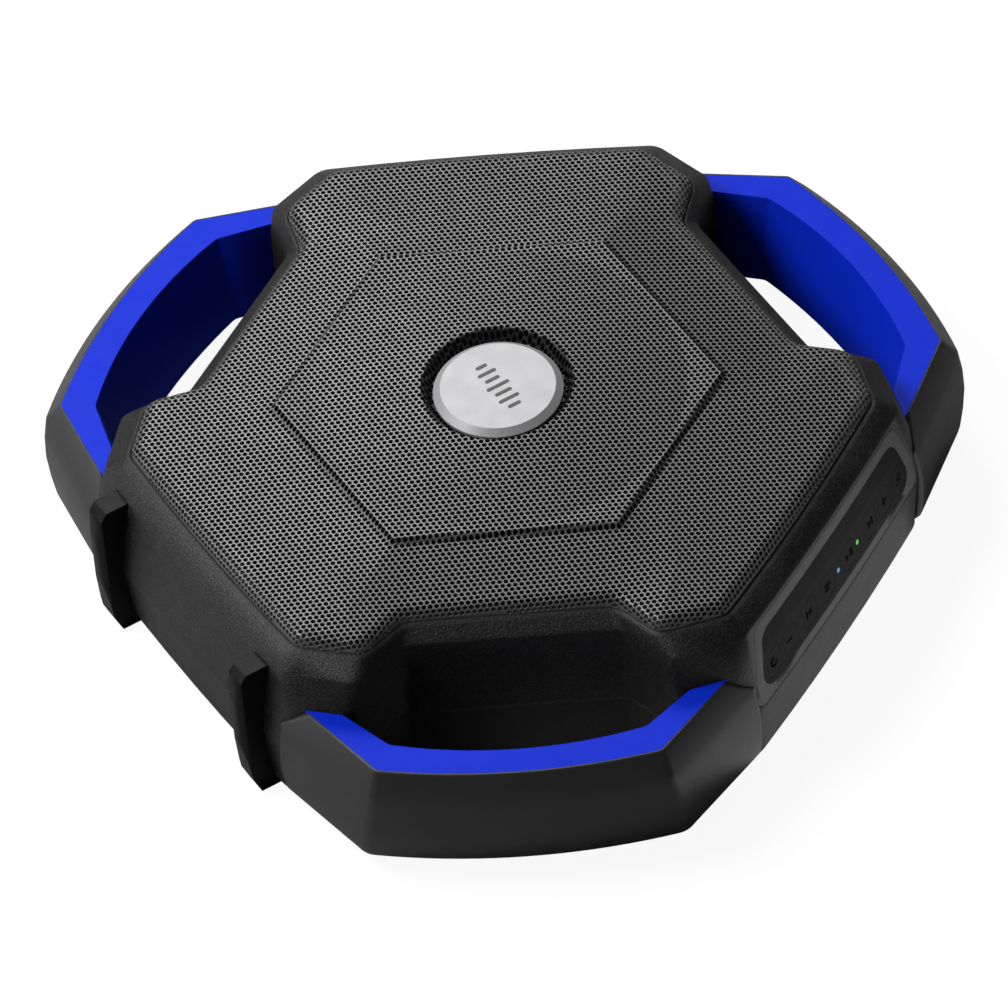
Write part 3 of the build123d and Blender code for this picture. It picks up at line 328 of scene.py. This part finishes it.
# Material slot: name, colour, roughness, then the size and the relief of the grain in millimetres.
MATERIALS = {
    "front_shell": surface(
        "rim_plastic", (0.005, 0.005, 0.005), 0.44, 0.8, 0.36, edge_mm=3.0, specular=0.4, fleck=0.03),
    "rear_shell": surface(
        "tub_plastic", (0.007, 0.007, 0.007), 0.50, 0.6, 0.10, edge_mm=1.5, specular=0.4, fleck=0.015),
    "handle_shell": surface("handle_plastic", (0.024, 0.024, 0.025), 0.42, 0.35, 0.004, edge_mm=1.2),
    "grip": without_bounce(
        surface("grip_plastic", (0.0035, 0.030, 0.72), 0.50, 0.5, 0.01, wear=0.01, specular=0.08),
        GRIP_BOUNCE,
    ),
    # The grille's coat, with painted shade darkening it inside the dish round the badge
    "grille": paint_dish_shade(
        surface("grille_coat_with_painted_shade", (0.155, 0.155, 0.158), 0.42, 0.4, 0.008, metallic=0.3, edge_mm=0.12),
    ),
    "cloth": surface("damping_cloth", (0.003, 0.003, 0.003), 0.95, 0.5, 0.08, specular=0.05),
    "badge": surface("badge_face", (0.45, 0.45, 0.46), 0.45, 0.3, 0.004, metallic=0.2, edge_mm=0.3),
    "badge_mark": surface("badge_mark", (0.030, 0.030, 0.032), 0.45, 0.4, 0.01, wear=0.0, edge_mm=0.1),
    "bezel": surface("bezel_plastic", (0.100, 0.100, 0.102), 0.50, 0.4, 0.01, edge_mm=0.8),
    "inlay": surface("inlay_plastic", (0.009, 0.009, 0.010), 0.55, 0.4, 0.008, wear=0.01, specular=0.1),
    "button": surface(
        "button_rubber", (0.009, 0.009, 0.010), 0.55, 0.4, 0.008, wear=0.0, edge_mm=0.2, specular=0.1),
    "symbol": surface(
        "symbol_ink", (0.001, 0.001, 0.001), 0.8, 0.4, 0.01, wear=0.0, edge_mm=0.1, specular=0.05),
    "power_lens": glow("blue_lamp", (0.06, 0.33, 0.75)),
    "charge_lens": glow("green_lamp", (0.06, 0.70, 0.06)),
    "foot": surface("foot_rubber", (0.002, 0.002, 0.002), 0.45, 0.6, 0.02, edge_mm=0.8, specular=0.12),
    "seal": surface("seal_rubber", (0.012, 0.012, 0.012), 0.7, 0.6, 0.02),
    "door": surface("door_rubber", (0.022, 0.022, 0.023), 0.55, 0.5, 0.02),
    "port_plate": surface("port_plastic", (0.020, 0.020, 0.021), 0.5, 0.4, 0.01),
    "socket": surface("socket_nickel", (0.55, 0.55, 0.56), 0.28, 0.6, 0.006, metallic=1.0),
    "screw_steel": surface("screw_zinc", (0.42, 0.42, 0.43), 0.32, 0.4, 0.008, metallic=1.0),
    "pin_steel": surface("pin_steel", (0.55, 0.55, 0.56), 0.25, 0.4, 0.004, metallic=1.0),
    "basket": surface("basket_plastic", (0.018, 0.018, 0.019), 0.6, 0.6, 0.02),
    "cone": surface("cone_paper", (0.030, 0.030, 0.031), 0.8, 0.5, 0.06),
    "magnet": surface("magnet_ferrite", (0.09, 0.09, 0.095), 0.6, 0.7, 0.03, metallic=0.4),
    "surround": surface("surround_rubber", (0.012, 0.012, 0.013), 0.6, 0.6, 0.02),
    "radiator": surface("radiator_plastic", (0.022, 0.022, 0.023), 0.5, 0.5, 0.02),
    "battery": surface("battery_wrap", (0.03, 0.10, 0.32), 0.25, 3.0, 0.03),
    "strap": surface("strap_plastic", (0.04, 0.04, 0.042), 0.5, 0.5, 0.02),
    "circuit_board": surface("solder_resist", (0.015, 0.12, 0.05), 0.3, 1.2, 0.01),
    "board_part": surface("board_parts", (0.35, 0.35, 0.36), 0.35, 0.6, 0.01, metallic=0.8),
    "wire": surface("wire_jacket", (0.35, 0.02, 0.02), 0.4, 0.8, 0.01),
}
SLOTS = {entry["node"]: entry["material_slot"] for entry in frame["record"]["subparts"]}


def paint(thing, material):
    """Gives an object one material."""
    thing.data.materials.clear()
    thing.data.materials.append(material)


def add_piece(name, mesh, material, body):
    """New piece of the visual model, riding on a CAD body, painted with one material."""
    piece = bpy.data.objects.new(name, mesh)
    bpy.context.scene.collection.objects.link(piece)
    paint(piece, material)
    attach(piece, body)
    return piece


for node_name, node in NODES.items():
    paint(node, MATERIALS[SLOTS[node_name]])


# --- Smooth copies of the CAD meshes ----------------------------------------------------------------
def refined(node_name, smooth_angle=SHARP_ANGLE):
    """Stands in for a CAD node: the same mesh with its seams welded and its shallow edges shaded smooth."""
    source = NODES[node_name]
    mesh = source.data.copy()
    work = bmesh.new()
    work.from_mesh(mesh)
    bmesh.ops.remove_doubles(work, verts=work.verts, dist=WELD * MM)
    bmesh.ops.dissolve_degenerate(work, edges=work.edges, dist=SLIVER * MM)
    bmesh.ops.dissolve_limit(work, angle_limit=math.radians(FLAT_ANGLE), verts=work.verts, edges=work.edges)
    work.to_mesh(mesh)
    work.free()
    mesh.shade_smooth()
    mesh.set_sharp_from_angle(angle=math.radians(smooth_angle))
    slot = SLOTS[node_name]
    piece = add_piece(node_name + "_form", mesh, MATERIALS[slot], source["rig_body"])
    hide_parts(node_name)
    return piece


SMOOTH_NODES = [
    "front_shell", "rear_shell", "panel_bezel", "left_foot", "right_foot",
    "port_door", "rear_pads", "left_driver_cone", "right_driver_cone", "bass_radiator_diaphragm",
]
SMOOTH_NODES += [side + "_handle_" + part for side in ("top", "left", "right") for part in ("shell", "grip")]
SMOOTH_NODES += [name + "_button" for name in BUTTON_PLACES]
FACETED_NODES = ("badge", "panel_inlay")
FORMS = {name: refined(name) for name in SMOOTH_NODES}
FORMS.update({name: refined(name, FACETED_ANGLE) for name in FACETED_NODES})


# --- Grille -----------------------------------------------------------------------------------------
def grille_sides():
    """Normal angle, distance and following corner radius of each side, anticlockwise, at the roll's start."""
    inset = ROLL_INSET
    lobe, tip, floor = LOBE_CORNER - inset, TIP_CORNER - inset, -(FLOOR_CORNER + inset)
    sides = []
    for handle in HANDLE_SIDES:
        sides += [
            (handle - END_SLANT, END_REACH - inset, tip),
            (handle + FLANK_SLANT, FLANK_REACH - inset, floor),
            (handle, FLOOR_REACH - inset, floor),
            (handle - FLANK_SLANT, FLANK_REACH - inset, tip),
            (handle + END_SLANT, END_REACH - inset, lobe),
            (handle + 60, LOBE_REACH - inset, lobe),
        ]
    return sides


def crossing(angle1, reach1, angle2, reach2):
    """Plan point where two side lines meet."""
    rows = np.array([polar(angle1, 1.0), polar(angle2, 1.0)])
    return np.linalg.solve(rows, np.array([reach1, reach2]))


def roll_start(arc_steps=6, bulge_steps=12):
    """Closed line where the flat field ends: rounded corners, with bowed sides on the lobes."""
    sides = grille_sides()
    line = []
    for i, (angle, reach, radius) in enumerate(sides):
        next_angle, next_reach, _ = sides[(i + 1) % len(sides)]
        turn = (next_angle - angle + 180) % 360 - 180
        centre = crossing(angle, reach - radius, next_angle, next_reach - radius)
        arc = [centre + polar(angle + turn * step / arc_steps, radius) for step in range(arc_steps + 1)]
        line.append((angle, reach, arc))
    points = []
    for i, (angle, reach, arc) in enumerate(line):
        start = line[i - 1][2][-1]
        finish = arc[0]
        if i % 6 == 5:
            for step in range(1, bulge_steps):
                share = step / bulge_steps
                bow = LOBE_BULGE * (1 - (2 * share - 1) ** 2)
                points.append(start + (finish - start) * share + polar(angle, bow))
        points += arc
    return np.array(points)


ROLL_LINE = roll_start()
ROLL_POINTS = np.array(ROLL_SECTION)
ROLL_STEPS = np.hypot(*np.diff(ROLL_POINTS, axis=0).T)
ROLL_ARC = np.concatenate([[0.0], np.cumsum(ROLL_STEPS)])
ROLL_TANGENTS = np.gradient(ROLL_POINTS, ROLL_ARC, axis=0)
ROLL_LENGTH = ROLL_ARC[-1]


def from_roll_start(points):
    """Nearest point of the roll's start and the signed distance beyond it, for plan points."""
    start = ROLL_LINE
    run = np.roll(ROLL_LINE, -1, axis=0) - start
    length2 = (run ** 2).sum(1)
    nearest = np.empty_like(points)
    distance = np.empty(len(points))
    for first in range(0, len(points), CHUNK):
        part = points[first:first + CHUNK]
        offset = part[:, None] - start[None]
        share = np.clip((offset * run).sum(2) / length2, 0, 1)
        foot = start[None] + run[None] * share[..., None]
        gap2 = ((part[:, None] - foot) ** 2).sum(2)
        pick = gap2.argmin(1)
        rows = np.arange(len(part))
        nearest[first:first + CHUNK] = foot[rows, pick]
        away = part - foot[rows, pick]
        side = run[pick][:, 1] * away[:, 0] - run[pick][:, 0] * away[:, 1]
        distance[first:first + CHUNK] = np.sqrt(gap2[rows, pick]) * np.sign(side)
    return nearest, distance


def hexagon_distance(points):
    """Distance from the axis along the nearest of the raised hexagon's six side normals."""
    normals = np.array([polar(30 + 60 * step, 1.0) for step in range(6)])
    return (points @ normals.T).max(1)


def smooth_step(value):
    """Eased 0 to 1 ramp."""
    value = np.clip(value, 0, 1)
    return value * value * (3 - 2 * value)


def formed(points, depth=0.0):
    """Places of flat-sheet points after forming, at a depth under the outer face, in millimetres."""
    nearest, beyond = from_roll_start(points)
    apothem = hexagon_distance(points)
    radius = np.hypot(*points.T)
    from_edge = np.maximum(-beyond, 0)
    from_foot = np.maximum(apothem - FOOT_APOTHEM, 0)
    field = from_edge / np.maximum(from_edge + from_foot, TINY)
    step = smooth_step((FOOT_APOTHEM - apothem) / (FOOT_APOTHEM - HEXAGON_APOTHEM))
    dome = np.clip((DOME_RADIUS - radius) / (DOME_RADIUS - DISH_RADIUS), 0, 1)
    dish = smooth_step((DISH_RADIUS - radius) / (DISH_RADIUS - DISH_FLOOR_RADIUS))
    height = EDGE_HEIGHT + (FIELD_HEIGHT - EDGE_HEIGHT) * field
    height += (HEXAGON_HEIGHT - FIELD_HEIGHT) * step
    height += (DOME_HEIGHT - HEXAGON_HEIGHT) * dome
    height -= (DOME_HEIGHT - DISH_HEIGHT) * dish
    out = np.column_stack([points, height - depth])
    rolled = beyond > 0
    along = np.minimum(beyond[rolled], ROLL_LENGTH)
    direction = (points[rolled] - nearest[rolled]) / np.maximum(beyond[rolled], TINY)[:, None]
    inset = np.interp(along, ROLL_ARC, ROLL_POINTS[:, 0])
    z = np.interp(along, ROLL_ARC, ROLL_POINTS[:, 1])
    slope_in = np.interp(along, ROLL_ARC, ROLL_TANGENTS[:, 0])
    slope_z = np.interp(along, ROLL_ARC, ROLL_TANGENTS[:, 1])
    size = np.hypot(slope_in, slope_z)
    outward = ROLL_INSET - inset + depth * slope_z / size
    out[rolled, :2] = nearest[rolled] + direction * outward[:, None]
    out[rolled, 2] = z + depth * slope_in / size
    return out, beyond


def lattice_centres():
    """Centres of the staggered rows of holes over the whole sheet."""
    last_row = int(LATTICE_REACH / ROW_PITCH)
    last_column = int(LATTICE_REACH / PITCH)
    rows = range(-last_row, last_row + 1)
    columns = np.arange(-last_column, last_column + 1)
    centres = []
    for row in rows:
        shift = PITCH / 2 if row % 2 else 0.0
        centres.append(np.column_stack([columns * PITCH + shift, np.full(len(columns), row * ROW_PITCH)]))
    return np.concatenate(centres)


# Corners of one hexagonal cell and of its hole, from its centre.
CELL = np.array([
    (0, 2 * ROW_PITCH / 3), (-PITCH / 2, ROW_PITCH / 3), (-PITCH / 2, -ROW_PITCH / 3),
    (0, -2 * ROW_PITCH / 3), (PITCH / 2, -ROW_PITCH / 3), (PITCH / 2, ROW_PITCH / 3),
])
HOLE = np.array([polar(90 + 360 / HOLE_SIDES * step, HOLE_RADIUS) for step in range(HOLE_SIDES)])


def grille_mesh(name, centres, open_cells):
    """Mesh of the cells at some centres: a ring of faces and a wall round each hole, or a plain cell."""
    count = len(centres)
    corners, _ = formed((centres[:, None] + CELL[None]).reshape(-1, 2))
    rims, _ = formed((centres[open_cells][:, None] + HOLE[None]).reshape(-1, 2))
    backs, _ = formed((centres[open_cells][:, None] + HOLE[None]).reshape(-1, 2), SHEET)
    vertices = np.concatenate([corners, rims, backs]) * MM
    rim_base = count * len(CELL)
    back_base = rim_base + len(rims)
    per_side = HOLE_SIDES // len(CELL)
    faces = []
    hole = 0
    for cell in range(count):
        base = cell * len(CELL)
        if not open_cells[cell]:
            faces.append([base + k for k in range(len(CELL))])
            continue
        rim = rim_base + hole * HOLE_SIDES
        back = back_base + hole * HOLE_SIDES
        for k in range(len(CELL)):
            first = k * per_side
            inner = [rim + (first + step) % HOLE_SIDES for step in range(per_side, -1, -1)]
            faces.append([base + k, base + (k + 1) % len(CELL), *inner])
        for k in range(HOLE_SIDES):
            after = (k + 1) % HOLE_SIDES
            faces.append([rim + k, rim + after, back + after, back + k])
        hole += 1
    mesh = bpy.data.meshes.new(name)
    mesh.from_pydata(vertices.tolist(), [], faces)
    work = bmesh.new()
    work.from_mesh(mesh)
    bmesh.ops.remove_doubles(work, verts=work.verts, dist=2 * WELD * MM)
    bmesh.ops.dissolve_degenerate(work, edges=work.edges, dist=2 * SLIVER * MM)
    work.to_mesh(mesh)
    work.free()
    return mesh


def make_grille():
    """The perforated sheet in four pieces: the raised hexagon and the field of each lobe."""
    centres = lattice_centres()
    _, beyond = from_roll_start(centres)
    keep = (beyond < ROLL_LENGTH + PITCH) & (np.hypot(*centres.T) > BADGE_COVER)
    centres, beyond = centres[keep], beyond[keep]
    open_cells = beyond < ROLL_LENGTH - PLAIN_EDGE - HOLE_RADIUS
    raised = hexagon_distance(centres) < FOOT_APOTHEM
    lobes = np.array([polar(side, 1.0) for side in LOBE_SIDES.values()])
    nearest_lobe = (centres @ lobes.T).argmax(1)
    regions = {"grille_hexagon": raised}
    for index, name in enumerate(LOBE_SIDES):
        regions["grille_" + name + "_lobe"] = ~raised & (nearest_lobe == index)
    for name, chosen in regions.items():
        mesh = grille_mesh(name, centres[chosen], open_cells[chosen])
        piece = add_piece(name, mesh, MATERIALS["grille"], "body")
        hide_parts("grille")


make_grille()


# --- Badge ------------------------------------------------------------------------------------------
def prism_mesh(name, outline, low, high, place=None):
    """Mesh of a flat outline swept between two heights of its own frame, in millimetres."""
    count = len(outline)
    points = [(x, y, low) for x, y in outline] + [(x, y, high) for x, y in outline]
    faces = [list(range(count))[::-1], [count + k for k in range(count)]]
    faces += [[k, (k + 1) % count, count + (k + 1) % count, count + k] for k in range(count)]
    mesh = bpy.data.meshes.new(name)
    mesh.from_pydata([Vector(point) * MM for point in points], [], faces)
    if place is not None:
        mesh.transform(place)
    return mesh


def joined(name, meshes):
    """One mesh made of several."""
    work = bmesh.new()
    for mesh in meshes:
        work.from_mesh(mesh)
    bmesh.ops.recalc_face_normals(work, faces=work.faces)
    whole = bpy.data.meshes.new(name)
    work.to_mesh(whole)
    work.free()
    return whole


def capsule(start, finish, width, steps=8):
    """Outline of a stroke with round ends."""
    start, finish = np.array(start, float), np.array(finish, float)
    heading = math.degrees(math.atan2(*(finish - start)[::-1]))
    outline = []
    for centre, turn in ((finish, heading - 90), (start, heading + 90)):
        outline += [centre + polar(turn + 180 * step / steps, width / 2) for step in range(steps + 1)]
    return outline


def circle(radius, steps=24):
    """Outline of a disc."""
    return [polar(360 * step / steps, radius) for step in range(steps)]


def arc_strokes(radius, width, start, sweep, steps=20):
    """Short strokes that make up an arc, from a start angle over a sweep."""
    places = [polar(start + sweep * step / steps, radius) for step in range(steps + 1)]
    return [capsule(a, b, width, 4) for a, b in zip(places, places[1:])]


def make_badge_mark():
    """Generic level bars on the badge's face, one bar for each height."""
    bars = []
    for index, height in enumerate(BAR_HEIGHTS):
        x = (index - (len(BAR_HEIGHTS) - 1) / 2) * BAR_PITCH
        outline = capsule((x, -height / 2), (x, height / 2), BAR_WIDTH)
        bars.append(prism_mesh("bar", outline, BADGE_TOP - BAR_DEPTH, BADGE_TOP + BAR_PROUD))
    mesh = joined("badge_level_bars", bars)
    add_piece("badge_level_bars", mesh, MATERIALS["badge_mark"], "body")


make_badge_mark()


# --- Panel symbols ----------------------------------------------------------------------------------
def facet_matrix(angle):
    """Frame of a lobe's sloping outer face: X along it, Y up the slope, Z outwards."""
    x, y = polar(angle, FACET_REACH)
    place = Matrix.Translation(Vector((x, y, FACET_HEIGHT)) * MM)
    turn = Matrix.Rotation(math.radians(angle + 90), 4, "Z")
    tilt = Matrix.Rotation(math.radians(90 - FACET_TILT), 4, "X")
    return place @ turn @ tilt


def symbol_outlines(name):
    """Outlines of a button's generic symbol, centred on the button, in millimetres."""
    line = SYMBOL_LINE
    forward = [(-1.6, -1.9), (1.7, 0.0), (-1.6, 1.9)]
    if name == "power":
        return arc_strokes(2.1, line, 120, 300) + [capsule((0, 0.6), (0, 2.6), line)]
    if name == "volume_down":
        return [capsule((-2.2, 0), (2.2, 0), line)]
    if name == "volume_up":
        return [capsule((-2.2, 0), (2.2, 0), line), capsule((0, -2.2), (0, 2.2), line)]
    if name == "play":
        return [[(x - 1.4, y) for x, y in forward], capsule((1.4, -1.6), (1.4, 1.6), line),
                capsule((2.7, -1.6), (2.7, 1.6), line)]
    if name == "next":
        return [forward, capsule((2.2, -1.7), (2.2, 1.7), line)]
    if name == "previous":
        return [[(-x, y) for x, y in reversed(forward)], capsule((-2.2, -1.7), (-2.2, 1.7), line)]
    if name == "source":
        return [capsule((-2.1, y), (x, y), line) for x, y in ((2.1, 1.5), (2.1, 0.0), (0.4, -1.5))]
    rays = [capsule(polar(turn, 1.9), polar(turn, 2.6), RAY_LINE, 4) for turn in range(0, 360, 45)]
    return [circle(1.1), *rays]


def make_symbols():
    """A dark symbol on each button, riding with the button."""
    panel = facet_matrix(PANEL_SIDE)
    outwards = (panel.to_3x3() @ Vector((0, 0, 1))).normalized()
    for name, x in BUTTON_PLACES.items():
        form = FORMS[name + "_button"]
        tree = BVHTree.FromPolygons(
            [vertex.co for vertex in form.data.vertices], [face.vertices for face in form.data.polygons])
        above = panel @ (Vector((x, BUTTON_ROW, PROBE_HEIGHT)) * MM)
        hit = tree.ray_cast(above, -outwards)
        height = (hit[0] - panel.translation).dot(outwards) / MM
        place = panel @ Matrix.Translation(Vector((x, BUTTON_ROW, height)) * MM)
        outlines = symbol_outlines(name)
        strokes = [prism_mesh("stroke", line, -SYMBOL_DEPTH, SYMBOL_PROUD, place) for line in outlines]
        mesh = joined(name + "_symbol", strokes)
        add_piece(name + "_symbol", mesh, MATERIALS["symbol"], name)


make_symbols()


# --- Light, floor and camera ------------------------------------------------------------------------
def around(azimuth, elevation, distance):
    """Place seen from the speaker in a direction, in degrees, at a distance in metres."""
    flat = math.cos(math.radians(elevation)) * distance
    return (*(polar(azimuth, flat)), math.sin(math.radians(elevation)) * distance)


def area_light(name, place, target, size, power):
    """Round soft light that faces a point, in metres and watts."""
    data = bpy.data.lights.new(name, "AREA")
    data.shape = "DISK"
    data.size = size
    data.energy = power
    lamp = bpy.data.objects.new(name, data)
    bpy.context.scene.collection.objects.link(lamp)
    lamp.location = place
    lamp.rotation_euler = (Vector(target) - Vector(place)).to_track_quat("-Z", "Y").to_euler()
    return lamp


def make_floor():
    """Plain pale floor under the speaker."""
    mesh = bpy.data.meshes.new("floor")
    reach = FLOOR_HALF_WIDTH * MM
    corners = [(x * reach, y * reach, 0) for x, y in ((-1, -1), (1, -1), (1, 1), (-1, 1))]
    mesh.from_pydata(corners, [], [[0, 1, 2, 3]])
    floor = bpy.data.objects.new("floor", mesh)
    bpy.context.scene.collection.objects.link(floor)
    floor.location.z = -FLOOR_DROP * MM
    material = bpy.data.materials.new("floor_paper")
    material.use_nodes = True
    tree = material.node_tree
    shader = tree.nodes["Principled BSDF"]
    shader.inputs["Roughness"].default_value = FLOOR_ROUGHNESS
    shader.inputs["Specular IOR Level"].default_value = 0.0
    shader.inputs["Emission Color"].default_value = (1, 1, 1, 1)
    seen = add_node(tree, "ShaderNodeLightPath").outputs["Is Camera Ray"]
    tree.links.new(mixed(tree, seen, FLOOR_BOUNCE, FLOOR_SHADE), shader.inputs["Base Color"])
    tree.links.new(ranged(tree, seen, 0.0, FLOOR_GLOW), shader.inputs["Emission Strength"])
    paper = scaled_noise(tree, PAPER_GRAIN, detail=4)
    bump = add_node(tree, "ShaderNodeBump", {"Height": paper.outputs["Fac"], "Distance": PAPER_RELIEF * MM})
    tree.links.new(bump.outputs["Normal"], shader.inputs["Normal"])
    paint(floor, material)


def make_camera():
    """Camera at the speaker's three-quarter view from above, a little rolled."""
    data = bpy.data.cameras.new("camera")
    data.sensor_width = SENSOR
    data.lens = CAMERA_LENS
    data.clip_start, data.clip_end = CAMERA_CLIP
    camera = bpy.data.objects.new("camera", data)
    bpy.context.scene.collection.objects.link(camera)
    camera.location = CAMERA_PLACE
    look = Vector(CAMERA_TARGET) - Vector(CAMERA_PLACE)
    aim = look.to_track_quat("-Z", "Y")
    roll = Matrix.Rotation(math.radians(-CAMERA_ROLL), 4, "Z")
    camera.rotation_mode = "QUATERNION"
    camera.rotation_quaternion = (aim.to_matrix().to_4x4() @ roll).to_quaternion()
    bpy.context.scene.camera = camera


def make_world():
    """Even white surroundings."""
    world = bpy.data.worlds.new("world")
    world.use_nodes = True
    background = world.node_tree.nodes["Background"]
    background.inputs["Color"].default_value = (1, 1, 1, 1)
    background.inputs["Strength"].default_value = WORLD_STRENGTH
    bpy.context.scene.world = world


def make_lights():
    """The soft lamps round the speaker, and the one on the floor, which the camera doesn't see."""
    for name, (angle, elevation, distance, aim, width, power) in LAMPS.items():
        area_light(name, around(angle, elevation, distance), (0, 0, aim), width, power)
    x, y = polar(PANEL_SIDE, CARD_REACH)
    card = area_light("side_card", (x, y, CARD_HEIGHT), (x, y, 1), CARD_WIDTH, CARD_POWER)
    card.visible_camera = False


make_floor()
make_camera()
make_world()
make_lights()
bpy.context.scene.view_settings.view_transform = "Standard"
